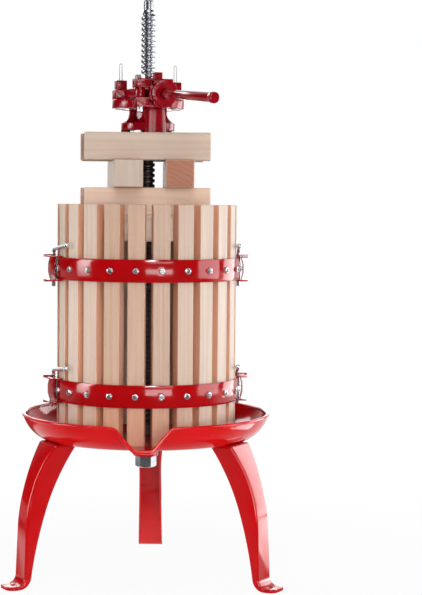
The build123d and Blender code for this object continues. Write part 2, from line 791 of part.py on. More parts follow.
nut_room = bolt_nut_flats / math.sqrt(3) + bracket_nut_room
halves = (("front", 0, seam_azimuth, 0), ("rear", half_count, seam_azimuth + 180, rear_stave_turn))
for half_name, first_stave, half_azimuth, stave_turn in halves:
    half_staves = range(first_stave, first_stave + half_count)
    hoop = turned(half_azimuth) * make_half_hoop(stave_turn)
    first_bracket = make_bracket(half_azimuth + seam_angle, -1, half_name)
    last_bracket = make_bracket(half_azimuth + 180 - seam_angle, 1, half_name)
    last_nut = spoke(nut_room, hoop_face, hoop_face + hoop_height, 0)
    last_bracket -= turned(stave_azimuth(half_staves[-1])) * last_nut
    brackets = []
    bolts = []
    for level_name, level in hoop_heights.items():
        save(f"{half_name}_{level_name}_hoop", [Pos(0, 0, level) * hoop])
        brackets += [Pos(0, 0, level) * first_bracket, Pos(0, 0, level) * last_bracket]
        for stave_index in half_staves:
            bolts.append(make_stave_bolt(stave_index, level))
    save(f"{half_name}_hinge_brackets", brackets)
    save(f"{half_name}_stave_bolts", bolts)

for seam_name, azimuth, toward_front in (("left", seam_azimuth, 1), ("right", seam_azimuth + 180, -1)):
    for level_name, level in hoop_heights.items():
        save(f"{seam_name}_{level_name}_pin", [make_pin(azimuth, toward_front, level)])

# Pressing timbers

save("press_plate_left", [make_plate_half(-1)])
save("press_plate_right", [make_plate_half(1)])
board = make_timber(timber_length, timber_width, board_bottom)
save("board_front", [Pos(front_timber_shift, -timber_offset, 0) * board])
save("board_rear", [Pos(rear_timber_shift, timber_offset, 0) * board])
spacer = make_timber(timber_width, spacer_length, spacer_bottom)
save("spacer_left", [Pos(spacer_left_x, 0, 0) * Rot(0, 0, spacer_left_turn) * spacer])
save("spacer_right", [Pos(spacer_right_x, 0, 0) * Rot(0, 0, spacer_right_turn) * spacer])
beam = make_timber(timber_length, timber_width, beam_bottom)
save("beam_front", [Pos(front_timber_shift, -timber_offset, 0) * beam])
save("beam_rear", [Pos(rear_timber_shift, timber_offset, 0) * beam])

# Ratchet head

save("thrust_bell", [make_bell()])
save("ratchet_nut", [make_ratchet_nut()])
save("pawl_carrier", [make_carrier()])
save("pawl_left", [make_pawl(-1)])
save("pawl_right", [make_pawl(1)])
save("pawl_left_wire", [make_wire(-1)])
save("pawl_right_wire", [make_wire(1)])
save("lever_socket", [make_socket()])
save("socket_fasteners", [make_clamp_bolt(), make_set_screw()])
save("lever_bar", [make_lever()])
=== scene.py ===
import bpy
import json
import math
from mathutils import Matrix, Vector


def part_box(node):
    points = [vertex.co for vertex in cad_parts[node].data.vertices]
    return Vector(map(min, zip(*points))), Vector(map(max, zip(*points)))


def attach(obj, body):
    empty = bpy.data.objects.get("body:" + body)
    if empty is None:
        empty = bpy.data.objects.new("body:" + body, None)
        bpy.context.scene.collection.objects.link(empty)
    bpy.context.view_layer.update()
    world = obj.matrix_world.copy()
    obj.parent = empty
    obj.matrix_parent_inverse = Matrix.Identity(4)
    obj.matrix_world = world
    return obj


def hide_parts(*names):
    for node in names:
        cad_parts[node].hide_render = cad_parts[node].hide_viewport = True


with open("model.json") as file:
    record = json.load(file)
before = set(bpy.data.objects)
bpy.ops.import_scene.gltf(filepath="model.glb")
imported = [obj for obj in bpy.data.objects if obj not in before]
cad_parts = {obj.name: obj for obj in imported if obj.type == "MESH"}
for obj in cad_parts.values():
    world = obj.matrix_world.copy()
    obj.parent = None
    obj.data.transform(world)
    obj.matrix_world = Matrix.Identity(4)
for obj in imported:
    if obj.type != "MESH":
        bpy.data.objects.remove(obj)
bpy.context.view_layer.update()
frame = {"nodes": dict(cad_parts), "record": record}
nodes = frame["nodes"]
record = frame["record"]
node_body = {name: body for body, names in record["behaviour"]["bodies"].items() for name in names}
node_slot = {part["node"]: part["material_slot"] for part in record["subparts"]}

TURN = 2 * math.pi

# Camera that matches the photograph: millimetres for the lens, metres and degrees for the rest
LENS = 100.2
SENSOR_WIDTH = 36.0
VIEW_DEPTH = 50.0
CAMERA_PLACE = (0.0555, -2.519, 0.563)
CAMERA_PITCH = 3.15
CAMERA_YAW = -0.96
CAMERA_ROLL = 0.49

# Colours, as linear red, green and blue
RED = (0.50, 0.003, 0.005)
DARK_RED = (0.45, 0.003, 0.004)
# Lighter copy of the red enamel for the basin and the rear leg: painted light
BASIN_PAINTED_LIGHT_RED = (0.60, 0.004, 0.006)
BASIN_PAINTED_LIGHT_DARK = (0.55, 0.004, 0.005)
# Darker copy of the red enamel for the hoops and their hinge brackets: painted shade
HOOP_PAINTED_SHADE_RED = (0.39, 0.002, 0.004)
HOOP_PAINTED_SHADE_DARK = (0.34, 0.002, 0.003)
CAST_RED = (0.34, 0.002, 0.010)
CAST_DARK = (0.24, 0.001, 0.007)
PALE_BEECH = (0.80, 0.665, 0.56)
WARM_BEECH = (0.76, 0.52, 0.38)
END_PALE = (0.56, 0.36, 0.25)
END_BROWN = (0.44, 0.165, 0.09)
END_LINE = (0.33, 0.115, 0.058)
# Painted shade and warm bounce light on the side faces of the staves, in the gaps between them
GAP_SHADE_BROWN = (0.68, 0.29, 0.14)
# Painted warm bounce light from the red basin, laid on the lower ends of the staves
PAINTED_BOUNCE_TINT = (0.74, 0.33, 0.18)
ZINC = (0.80, 0.81, 0.84)
ZINC_DULL = (0.68, 0.69, 0.72)
WIRE_GREY = (0.70, 0.71, 0.74)
STEEL = (0.50, 0.51, 0.55)
STEEL_DULL = (0.42, 0.43, 0.46)
STEEL_DARK = (0.16, 0.16, 0.17)
# Painted shade on the lower part of the press screw
SCREW_PAINTED_SHADE = (0.050, 0.040, 0.036)
WHITE = (1.0, 1.0, 1.0)
FLOOR_WHITE = (0.85, 0.85, 0.85)

# Parts of a noise pattern's range that become the whole range from 0 to 1
SOFT_WINDOW = (0.35, 0.65)
WIDE_WINDOW = (0.3, 0.7)

# Enamel: scales of the patterns per metre, height of the orange peel in metres
DRIFT_SCALE = 14.0
GLOSS_SCALE = 60.0
PEEL_SCALE = 190.0
PEEL_STRENGTH = 0.02
PEEL_ROUGHNESS = 0.55
PEEL_HEIGHT = 0.0006
ENAMEL_ROUGHNESS = 0.10
ENAMEL_GLOSS_SPREAD = (0.8, 1.25)

# Plated and bare metal
METAL_SCALE = 90.0
METAL_GLOSS_SPREAD = (0.85, 1.15)

# Wood figure, in metres; the pattern scales run along the grain, then across it
GRAIN_SCALES = {"slow": (2.5, 26), "streak": (7, 210), "fleck": (150, 1500)}
GRAIN_SHIFT = (0.37, 0.23, 0.61)
RING_PITCH = 0.0065
RING_WOBBLE = 0.010
RING_WINDOW = (-0.2, 1.0)
HEART_OFFSET = 0.055
HEART_TURN = 2.4
HEART_SKEW = 2.1
STREAK_ROUGHNESS = 0.55
STREAK_WINDOW = (0.38, 0.72)
FLECK_WINDOW = (0.66, 0.76)
END_WINDOW = (0.75, 0.95)
# Range of facing over which the painted gap shade comes in on the side faces
GAP_SHADE_WINDOW = (0.6, 0.95)
RING_SHARE = 0.45
STREAK_SHARE = 0.55
FLECK_SHARE = 0.45
END_RING_SHARE = 0.5
LINE_TINT = (0.88, 0.80, 0.74)
FLECK_TINT = (0.72, 0.58, 0.48)
WOOD_ROUGHNESS = (0.42, 0.58)
WOOD_BUMP = 0.2
WOOD_BUMP_HEIGHT = 0.0004
# Painted warm bounce light on the wood low down: heights in metres where it starts and where it is full,
# and its share
BOUNCE_TINT_TOP = 0.300
BOUNCE_TINT_FULL = 0.265
BOUNCE_TINT_SHARE = 0.45

# Screw thread: metres, and the half widths of its crest and foot as shares of the lead
THREAD_LEAD = 0.008
THREAD_DEPTH = 0.0027
THREAD_SIDES = 40
THREAD_ROWS = 12
SCREW_TIP_LENGTH = 0.016
SCREW_TIP_RADIUS = 0.0075
SCREW_TIP_EDGE = 0.0010
THREAD_CREST = 0.2
THREAD_FOOT = 0.4
THREAD_SHARP = 50

# Turned steel of the screw, with painted shade on its lower part
MOTTLE_SCALE = 60.0
PATCH_SCALE = 120.0
PATCH_HEIGHT = 0.006
SCREW_SHADE_TOP = 0.650
SCREW_SHADE_FADE = 0.012
SCREW_SHADE_SHARE = 0.9
SCREW_ROUGHNESS = (0.32, 0.42)

# Edges of the solids: metres and degrees
WELD_REACH = 1e-6
SHARP_ANGLE = 35


# Material helpers

def new_material(name):
    material = bpy.data.materials.new(name)
    material.use_nodes = True
    tree = material.node_tree
    return material, tree, tree.nodes["Principled BSDF"]


def add(tree, kind, inputs=None, **settings):
    """Add a node, set its properties, and set or link its inputs."""
    made = tree.nodes.new(kind)
    for key, value in settings.items():
        setattr(made, key, value)
    for key, value in (inputs or {}).items():
        if isinstance(value, bpy.types.NodeSocket):
            tree.links.new(value, made.inputs[key])
        else:
            made.inputs[key].default_value = value
    return made


def rgba(colour):
    return (*colour, 1.0)


def noise(tree, vector, scale, detail=2.0, roughness=0.5):
    inputs = {"Vector": vector, "Scale": scale, "Detail": detail, "Roughness": roughness}
    return add(tree, "ShaderNodeTexNoise", inputs).outputs["Fac"]


def remap(tree, value, low, high, new_low=0.0, new_high=1.0):
    inputs = {"Value": value, "From Min": low, "From Max": high, "To Min": new_low, "To Max": new_high}
    return add(tree, "ShaderNodeMapRange", inputs).outputs["Result"]


def share_of(tree, value, share):
    return remap(tree, value, 0.0, 1.0, 0.0, share)


def calculate(tree, operation, *values):
    return add(tree, "ShaderNodeMath", dict(enumerate(values)), operation=operation).outputs[0]


def calculate_vector(tree, operation, *values):
    return add(tree, "ShaderNodeVectorMath", dict(enumerate(values)), operation=operation)


def split_vector(tree, vector):
    return add(tree, "ShaderNodeSeparateXYZ", {"Vector": vector}).outputs


def blend_value(tree, factor, first, second):
    return add(tree, "ShaderNodeMix", {0: factor, 2: first, 3: second}).outputs[0]


def as_colour(value):
    return value if isinstance(value, bpy.types.NodeSocket) else rgba(value)


def blend_colour(tree, factor, first, second):
    inputs = {0: factor, 6: as_colour(first), 7: as_colour(second)}
    return add(tree, "ShaderNodeMix", inputs, data_type="RGBA").outputs[2]


def bump(tree, height, strength, distance):
    inputs = {"Height": height, "Strength": strength, "Distance": distance}
    return add(tree, "ShaderNodeBump", inputs).outputs["Normal"]


def object_coordinates(tree):
    return add(tree, "ShaderNodeTexCoord").outputs["Object"]


# Materials

def make_enamel(name, light, dark, peel_scale=PEEL_SCALE, peel=PEEL_STRENGTH, roughness=ENAMEL_ROUGHNESS):
    """Gloss red enamel with soft colour drift and a light orange peel."""
    material, tree, shader = new_material(name)
    place = object_coordinates(tree)
    drift = remap(tree, noise(tree, place, DRIFT_SCALE, detail=3.0), *SOFT_WINDOW)
    tree.links.new(blend_colour(tree, drift, light, dark), shader.inputs["Base Color"])
    gloss_range = [roughness * spread for spread in ENAMEL_GLOSS_SPREAD]
    gloss = remap(tree, noise(tree, place, GLOSS_SCALE, detail=3.0), *WIDE_WINDOW, *gloss_range)
    tree.links.new(gloss, shader.inputs["Roughness"])
    skin = noise(tree, place, peel_scale, detail=3.0, roughness=PEEL_ROUGHNESS)
    tree.links.new(bump(tree, skin, peel, PEEL_HEIGHT), shader.inputs["Normal"])
    return material


def growth_rings(tree, local, drift, grain, heart):
    """Year rings round a heart line that runs along the grain, from 0 to 1."""
    across = {"X": (0, 1, 1), "Y": (1, 0, 1), "Z": (1, 1, 0)}[grain]
    flat = calculate_vector(tree, "MULTIPLY", local, across).outputs[0]
    reach = calculate_vector(tree, "DISTANCE", flat, heart).outputs["Value"]
    wobble = remap(tree, drift, 0.0, 1.0, -RING_WOBBLE, RING_WOBBLE)
    radius = calculate(tree, "ADD", reach, wobble)
    angle = calculate(tree, "MULTIPLY", radius, TURN / RING_PITCH)
    return remap(tree, calculate(tree, "SINE", angle), *RING_WINDOW)


def make_beech(name, middle, turn, grain, seed, shade, end_colours, gap_shade_share):
    """Planed beech: year rings, streaks and short flecks along the grain, browner on the end grain, with
    painted shade on the side faces and painted warm bounce light from the red basin low down.
    """
    material, tree, shader = new_material(name)
    place = object_coordinates(tree)
    inputs = {"Vector": place, "Location": middle, "Rotation": (0, 0, turn)}
    local = add(tree, "ShaderNodeMapping", inputs, vector_type="TEXTURE").outputs[0]
    shift = [step * seed for step in GRAIN_SHIFT]
    moved = calculate_vector(tree, "ADD", local, shift).outputs[0]
    grain_index = "XYZ".index(grain)
    stretches = {}
    for key, (along, across) in GRAIN_SCALES.items():
        scale = [across] * 3
        scale[grain_index] = along
        stretches[key] = calculate_vector(tree, "MULTIPLY", moved, scale).outputs[0]
    drift = noise(tree, stretches["slow"], 1.0)
    heart_angle = HEART_TURN * seed
    heart = [math.cos(heart_angle), math.cos(heart_angle + HEART_SKEW), math.sin(heart_angle)]
    heart = [HEART_OFFSET * part for part in heart]
    heart[grain_index] = 0.0
    rings = growth_rings(tree, local, drift, grain, heart)
    streak = noise(tree, stretches["streak"], 1.0, detail=4.0, roughness=STREAK_ROUGHNESS)
    streak = remap(tree, streak, *STREAK_WINDOW)
    fleck = remap(tree, noise(tree, stretches["fleck"], 1.0, detail=1.0), *FLECK_WINDOW)

    warmth, tone = shade
    base = [tone * (pale + (warm - pale) * warmth) for pale, warm in zip(PALE_BEECH, WARM_BEECH)]
    line = [part * tint for part, tint in zip(base, LINE_TINT)]
    dark = [part * tint for part, tint in zip(base, FLECK_TINT)]
    colour = blend_colour(tree, share_of(tree, rings, RING_SHARE), base, line)
    colour = blend_colour(tree, share_of(tree, streak, STREAK_SHARE), colour, line)
    colour = blend_colour(tree, share_of(tree, fleck, FLECK_SHARE), colour, dark)
    # Painted warm bounce light from the red basin, stronger on warmer pieces, on the wood below a set
    # height
    height = split_vector(tree, place)["Z"]
    painted_bounce = remap(tree, height, BOUNCE_TINT_TOP, BOUNCE_TINT_FULL, 0.0, BOUNCE_TINT_SHARE * warmth)
    colour = blend_colour(tree, painted_bounce, colour, PAINTED_BOUNCE_TINT)

    # Painted shade and warm bounce light in the gaps: the side faces of the staves turn brown
    normal = add(tree, "ShaderNodeTexCoord").outputs["Normal"]
    sideways = (-math.sin(turn), math.cos(turn), 0)
    lean = calculate_vector(tree, "DOT_PRODUCT", normal, sideways).outputs["Value"]
    painted_gap_shade = remap(tree, calculate(tree, "ABSOLUTE", lean), *GAP_SHADE_WINDOW, 0.0, gap_shade_share)
    colour = blend_colour(tree, painted_gap_shade, colour, GAP_SHADE_BROWN)
    facing = calculate(tree, "ABSOLUTE", split_vector(tree, normal)[grain])
    end_colour = blend_colour(tree, share_of(tree, rings, END_RING_SHARE), *end_colours)
    colour = blend_colour(tree, remap(tree, facing, *END_WINDOW), colour, end_colour)
    tree.links.new(colour, shader.inputs["Base Color"])
    tree.links.new(remap(tree, streak, 0.0, 1.0, *WOOD_ROUGHNESS), shader.inputs["Roughness"])
    tree.links.new(bump(tree, streak, WOOD_BUMP, WOOD_BUMP_HEIGHT), shader.inputs["Normal"])
    return material


def make_metal(name, bright, dull, roughness, metallic=1.0, scale=METAL_SCALE):
    """Bare or plated metal with a slight drift in colour and gloss."""
    material, tree, shader = new_material(name)
    place = object_coordinates(tree)
    mottle = remap(tree, noise(tree, place, scale, detail=3.0), *SOFT_WINDOW)
    tree.links.new(blend_colour(tree, mottle, bright, dull), shader.inputs["Base Color"])
    gloss_range = [roughness * spread for spread in METAL_GLOSS_SPREAD]
    gloss = remap(tree, noise(tree, place, scale * 2), *WIDE_WINDOW, *gloss_range)
    tree.links.new(gloss, shader.inputs["Roughness"])
    shader.inputs["Metallic"].default_value = metallic
    return material


def make_screw_steel(name):
    """Turned steel, bright above a ragged line and darker below it, where painted shade stands for the
    shade inside the press.
    """
    material, tree, shader = new_material(name)
    place = object_coordinates(tree)
    mottle = remap(tree, noise(tree, place, MOTTLE_SCALE, detail=3.0), *SOFT_WINDOW)
    patches = noise(tree, place, PATCH_SCALE, detail=3.0)
    patches = remap(tree, patches, *WIDE_WINDOW, -PATCH_HEIGHT, PATCH_HEIGHT)
    level = calculate(tree, "ADD", split_vector(tree, place)["Z"], patches)
    # Painted shade darkens the screw below a ragged line at a set height
    painted_shade = remap(tree, level, SCREW_SHADE_TOP, SCREW_SHADE_TOP - SCREW_SHADE_FADE, 0.0, SCREW_SHADE_SHARE)
    unshaded_steel = blend_colour(tree, mottle, STEEL, STEEL_DULL)
    tree.links.new(blend_colour(tree, painted_shade, unshaded_steel, SCREW_PAINTED_SHADE), shader.inputs["Base Color"])
    tree.links.new(remap(tree, painted_shade, 0.0, 1.0, *SCREW_ROUGHNESS), shader.inputs["Roughness"])
    shader.inputs["Metallic"].default_value = 1.0
    return material


enamel = make_enamel("red_enamel", RED, DARK_RED)
basin_enamel_painted_light = make_enamel("basin_enamel_painted_light", BASIN_PAINTED_LIGHT_RED, BASIN_PAINTED_LIGHT_DARK)
hoop_enamel_painted_shade = make_enamel("hoop_enamel_painted_shade", HOOP_PAINTED_SHADE_RED, HOOP_PAINTED_SHADE_DARK)
casting = make_enamel("red_casting", CAST_RED, CAST_DARK, peel_scale=420.0, peel=0.22, roughness=0.13)
lever_enamel = make_enamel("lever_enamel", CAST_RED, CAST_DARK, peel=0.03, roughness=0.09)
zinc = make_metal("zinc_plate", ZINC, ZINC_DULL, roughness=0.34, metallic=0.75)
bright_zinc = make_metal("bright_zinc", ZINC, ZINC_DULL, roughness=0.16)
pin_zinc = make_metal("pin_zinc", ZINC, ZINC_DULL, roughness=0.22, metallic=0.92)
bolt_zinc = make_metal("bolt_zinc", ZINC, ZINC_DULL, roughness=0.28, metallic=0.82)
bolt_end = make_metal("bolt_end", STEEL_DULL, STEEL_DARK, roughness=0.36, scale=400.0)
wire = make_metal("wire", WIRE_GREY, ZINC_DULL, roughness=0.55, metallic=0.5)
steel = make_screw_steel("screw_steel")
slot_materials = {"red_enamel": enamel, "red_cast": casting, "zinc": zinc}


# Finish of the solids

def set_material(piece, material):
    piece.data.materials.clear()
    piece.data.materials.append(material)


def shade_smooth(mesh, sharp_angle):
    """Shade a mesh smooth, except over edges that turn by more than an angle in degrees."""
    for face in mesh.polygons:
        face.use_smooth = True
    mesh.set_sharp_from_angle(angle=math.radians(sharp_angle))


def dress(name, material, bevel=0.0, flat=False, segments=2):
    """Give a solid its finish, smooth its curved faces and ease its edges."""
    piece = nodes[name]
    set_material(piece, material)
    weld = piece.modifiers.new("weld", "WELD")
    weld.merge_threshold = WELD_REACH
    if bevel > 0:
        edge = piece.modifiers.new("edge", "BEVEL")
        edge.width = bevel
        edge.segments = segments
        edge.limit_method = "ANGLE"
        edge.angle_limit = math.radians(SHARP_ANGLE)
        edge.harden_normals = True
    shade_smooth(piece.data, SHARP_ANGLE)
    if flat:
        planes = piece.modifiers.new("planes", "WEIGHTED_NORMAL")
        planes.keep_sharp = True


# Wood: each piece has its own grain and its own warmth and tone of colour, partly the wood's own and partly
# painted light and shade

GRAIN_OF = {
    "board_front": "X", "board_rear": "X", "beam_front": "X", "beam_rear": "X",
    "spacer_left": "Z", "spacer_right": "Y", "press_plate_left": "X", "press_plate_right": "X",
}
# Warmth from pale to peach, then tone from dark to light; set piece by piece, partly as the wood's own
# colour and partly as painted light and shade, darker where a piece is lit more and lighter where it is lit
# less
TONE_AND_PAINTED_LIGHT_OF = {
    "stave_03": (0.45, 0.78), "stave_04": (1.0, 0.75), "stave_05": (1.0, 0.77), "stave_06": (0.85, 0.70),
    "stave_07": (0.4, 0.75), "stave_08": (0.12, 0.79), "stave_09": (0.12, 0.77), "stave_10": (0.12, 0.80),
    "board_front": (0.6, 1.08), "board_rear": (0.5, 1.0), "beam_front": (0.35, 0.84),
    "beam_rear": (1.0, 0.75), "spacer_left": (0.15, 0.76), "spacer_right": (0.8, 0.82),
}
PLAIN_SHADE = (0.12, 0.87)
# Share of painted gap shade on the side faces of the staves
STAVE_GAP_SHADE_SHARE = 0.7
TIMBER_EDGE = 0.0008
wood_names = [name for name, slot in node_slot.items() if slot == "beech"]
for order, name in enumerate(wood_names):
    low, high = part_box(name)
    middle = (low + high) / 2
    is_stave = name.startswith("stave")
    turn = math.atan2(middle.y, middle.x) if is_stave else 0.0
    shade = TONE_AND_PAINTED_LIGHT_OF.get(name, PLAIN_SHADE)
    end_colours = (END_PALE, END_BROWN) if is_stave else (END_BROWN, END_LINE)
    gap_shade_share = STAVE_GAP_SHADE_SHARE if is_stave else 0.0
    grain = GRAIN_OF.get(name, "Z")
    wood = make_beech("beech_" + name, middle, turn, grain, order + 1, shade, end_colours, gap_shade_share)
    dress(name, wood, bevel=0.0 if is_stave else TIMBER_EDGE, flat=True)

# Painted and plated solids

BEVELS = {"red_enamel": 0.0005, "red_cast": 0.0012, "zinc": 0.0008}
ROUND_EDGES = {"lever_socket": 0.0022}
FLAT_SIDED = ("leg_fasteners", "socket_fasteners")
REPLACED = ("screw", "screw_nuts", "front_stave_bolts", "rear_stave_bolts")
for name, slot in node_slot.items():
    if slot in slot_materials and name not in REPLACED:
        edge = ROUND_EDGES.get(name, BEVELS[slot])
        dress(name, slot_materials[slot], bevel=edge, flat=name in FLAT_SIDED, segments=3)
for name in nodes:
    # Hoops and hinge brackets take the darker copy of the red enamel, as painted shade
    if name.endswith("_hoop") or name.endswith("_hinge_brackets"):
        set_material(nodes[name], hoop_enamel_painted_shade)
    if name.endswith("_pin"):
        set_material(nodes[name], pin_zinc)
    if name.endswith("_wire"):
        set_material(nodes[name], wire)
# The basin and the rear leg take the lighter copy of the red enamel, as painted light
for name in ("basin", "leg_rear"):
    set_material(nodes[name], basin_enamel_painted_light)
set_material(nodes["lever_bar"], lever_enamel)

# The set screw of the socket is painted with the casting; the clamp bolt beside it is plated
SET_SCREW_PLACE = Vector((0.0152, -0.0418))
SET_SCREW_REACH = 0.012
fasteners = nodes["socket_fasteners"].data
fasteners.materials.append(casting)
for face in fasteners.polygons:
    if (face.center.xy - SET_SCREW_PLACE).length < SET_SCREW_REACH:
        face.material_index = 1


# Helpers for new pieces

def make_piece(name, points, faces, material, sharp_angle, body):
    """Make a mesh object, give it its finish and let it ride on a body."""
    mesh = bpy.data.meshes.new(name)
    mesh.from_pydata(points, [], faces)
    shade_smooth(mesh, sharp_angle)
    piece = bpy.data.objects.new(name, mesh)
    bpy.context.scene.collection.objects.link(piece)
    set_material(piece, material)
    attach(piece, body)
    return piece


def join_rings(points, rings, looped=False):
    """Add rings of points; return the faces from ring to ring, with a cap at both ends unless they loop."""
    sides = len(rings[0])
    starts = []
    for ring in rings:
        starts.append(len(points))
        points += ring
    pairs = list(zip(starts, starts[1:]))
    faces = []
    if looped:
        pairs.append((starts[-1], starts[0]))
    else:
        faces.append(tuple(reversed(range(starts[0], starts[0] + sides))))
        faces.append(tuple(range(starts[-1], starts[-1] + sides)))
    for start, after in pairs:
        for side in range(sides):
            beside = (side + 1) % sides
            faces.append((start + side, start + beside, after + beside, after + side))
    return faces


def place_round(azimuth, out, across, height):
    """A point that lies out from the screw's axis in one direction, and across that direction."""
    x = out * math.cos(azimuth) - across * math.sin(azimuth)
    y = out * math.sin(azimuth) + across * math.cos(azimuth)
    return (x, y, height)


def hexagon_reach(flats, angle):
    """Distance from a hexagon's centre to its outline, at an angle from the middle of a flat."""
    corner_step = TURN / 6
    from_flat = (angle + corner_step / 2) % corner_step - corner_step / 2
    return flats / 2 / math.cos(from_flat)


# Press screw with its thread

def thread_rise(phase):
    """Height of the rounded trapezoid thread over one turn, from 0 in the groove to 1 on the crest."""
    flank = (THREAD_FOOT - abs(phase - 0.5)) / (THREAD_FOOT - THREAD_CREST)
    flank = min(1.0, max(0.0, flank))
    return flank * flank * (3 - 2 * flank)


def make_screw():
    low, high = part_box("screw")
    crest = (high.x - low.x) / 2
    groove = crest - THREAD_DEPTH
    shoulder = high.z - SCREW_TIP_LENGTH
    heights_and_radii = []
    rows = int((shoulder - low.z) / THREAD_LEAD * THREAD_ROWS)
    for row in range(rows + 1):
        turns = row / THREAD_ROWS
        height = low.z + turns * THREAD_LEAD
        run_out = min(1.0, (shoulder - height) / THREAD_LEAD)
        rises = [run_out * thread_rise((turns - side / THREAD_SIDES) % 1.0) for side in range(THREAD_SIDES)]
        heights_and_radii.append((height, [crest - THREAD_DEPTH * (1 - rise) for rise in rises]))
    end_edge = high.z - SCREW_TIP_EDGE
    tip = [(shoulder, groove), (shoulder + SCREW_TIP_EDGE, SCREW_TIP_RADIUS)]
    tip += [(shoulder + 2 * SCREW_TIP_EDGE, SCREW_TIP_RADIUS)]
    tip += [(end_edge - SCREW_TIP_EDGE, SCREW_TIP_RADIUS), (end_edge, SCREW_TIP_RADIUS)]
    tip += [(high.z, SCREW_TIP_RADIUS - SCREW_TIP_EDGE)]
    for height, radius in tip:
        heights_and_radii.append((height, [radius] * THREAD_SIDES))
    angles = [TURN * side / THREAD_SIDES for side in range(THREAD_SIDES)]
    rings = []
    for height, radii in heights_and_radii:
        rings.append([place_round(angle, radius, 0.0, height) for angle, radius in zip(angles, radii)])
    points = []
    faces = join_rings(points, rings)
    body = node_body["screw"]
    piece = make_piece("threaded_screw", points, faces, steel, THREAD_SHARP, body)
    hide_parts("screw")


make_screw()


# Hex nuts of the press screw, with the round chamfer of a real nut

NUT_FLATS = 0.028
NUT_HEIGHT = 0.017
NUT_BORE = 0.0111
NUT_SIDES = 72
NUT_CHAMFER_START = 0.0133
NUT_CHAMFER_SLOPE = math.tan(math.radians(30))
NUT_SHARP = 20


def nut_rings(bottom):
    """Rings of one nut, from its bore round by the top to its bore again."""
    top = bottom + NUT_HEIGHT
    columns = []
    for side in range(NUT_SIDES):
        angle = TURN * side / NUT_SIDES
        corner = hexagon_reach(NUT_FLATS, angle)
        cut = (corner - NUT_CHAMFER_START) * NUT_CHAMFER_SLOPE
        profile = [(NUT_BORE, bottom), (NUT_CHAMFER_START, bottom), (corner, bottom + cut)]
        profile += [(corner, top - cut), (NUT_CHAMFER_START, top), (NUT_BORE, top)]
        columns.append([place_round(angle - TURN / 4, radius, 0.0, height) for radius, height in profile])
    return list(zip(*columns))


def make_nuts():
    low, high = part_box("screw_nuts")
    points = []
    faces = []
    for bottom in (low.z, high.z - NUT_HEIGHT):
        faces += join_rings(points, nut_rings(bottom), looped=True)
    body = node_body["screw_nuts"]
    piece = make_piece("chamfered_nuts", points, faces, bright_zinc, NUT_SHARP, body)
    piece.data.materials.append(steel)
    for face in piece.data.polygons:
        if face.center.z > high.z - NUT_HEIGHT - NUT_BORE:
            face.material_index = 1
    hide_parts("screw_nuts")


make_nuts()


# Stave bolts: countersunk head inside, chamfered nut and dull bolt end outside

BOLT_INSIDE = 0.1180
BOLT_HEAD_RADIUS = 0.0045
BOLT_HEAD_DEPTH = 0.0024
BOLT_RADIUS = 0.0025
BOLT_SEAT = 0.14067
BOLT_NUT_FLATS = 0.0080
BOLT_NUT_TOP = 0.14387
BOLT_NUT_FACE = 0.0031
BOLT_NUT_SLOPE = math.tan(math.radians(22))
BOLT_END = 0.14567
BOLT_END_EDGE = 0.0005
BOLT_SIDES = 24
BOLT_TWIST = 0.61
BOLT_SHARP = 18
STAVES_OF = {"front": range(1, 12), "rear": range(12, 23)}


def bolt_rings(azimuth, height, twist):
    """Rings of one bolt with its nut, from the head at the inner face out to the bolt's end."""
    columns = []
    for side in range(BOLT_SIDES):
        angle = TURN * side / BOLT_SIDES
        corner = hexagon_reach(BOLT_NUT_FLATS, angle)
        fall = (corner - BOLT_NUT_FACE) * BOLT_NUT_SLOPE
        profile = [(BOLT_INSIDE, BOLT_HEAD_RADIUS), (BOLT_INSIDE + BOLT_HEAD_DEPTH, BOLT_RADIUS)]
        profile += [(BOLT_SEAT, BOLT_RADIUS), (BOLT_SEAT, corner), (BOLT_NUT_TOP - fall, corner)]
        profile += [(BOLT_NUT_TOP, BOLT_NUT_FACE), (BOLT_NUT_TOP, BOLT_RADIUS)]
        profile += [(BOLT_END - BOLT_END_EDGE, BOLT_RADIUS), (BOLT_END, BOLT_RADIUS - BOLT_END_EDGE)]
        column = []
        for out, radius in profile:
            across = radius * math.cos(angle + twist)
            column.append(place_round(azimuth, out, across, height + radius * math.sin(angle + twist)))
        columns.append(column)
    return list(zip(*columns))


def make_stave_bolts(half, stave_numbers):
    points = []
    faces = []
    for number in stave_numbers:
        low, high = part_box(f"stave_{number:02d}")
        azimuth = math.atan2(low.y + high.y, low.x + high.x)
        for level in ("lower", "upper"):
            low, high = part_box(f"{half}_{level}_hoop")
            twist = BOLT_TWIST * (2 * number + (level == "upper"))
            faces += join_rings(points, bolt_rings(azimuth, (low.z + high.z) / 2, twist))
    node = f"{half}_stave_bolts"
    body = node_body[node]
    piece = make_piece(f"{half}_bolts_and_nuts", points, faces, bolt_zinc, BOLT_SHARP, body)
    piece.data.materials.append(bolt_end)
    for face in piece.data.polygons:
        if face.center.xy.length > BOLT_NUT_TOP + BOLT_END_EDGE:
            face.material_index = 1
    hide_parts(node)


for half, stave_numbers in STAVES_OF.items():
    make_stave_bolts(half, stave_numbers)


# Raised face of the bell's front column, which runs down over the foot

FACE_AZIMUTH = math.radians(-70)
FACE_INNER = 0.0380
FACE_FOOT_RADIUS = 0.0425
FACE_TOP_RADIUS = 0.0408
FACE_FOOT_HALF = 0.0170
FACE_TOP_HALF = 0.0150
FACE_EDGE = 0.0034
FACE_LIFT = 0.0003
FACE_COLUMNS = 20
FACE_ROWS = 10
FACE_SHARP = 50


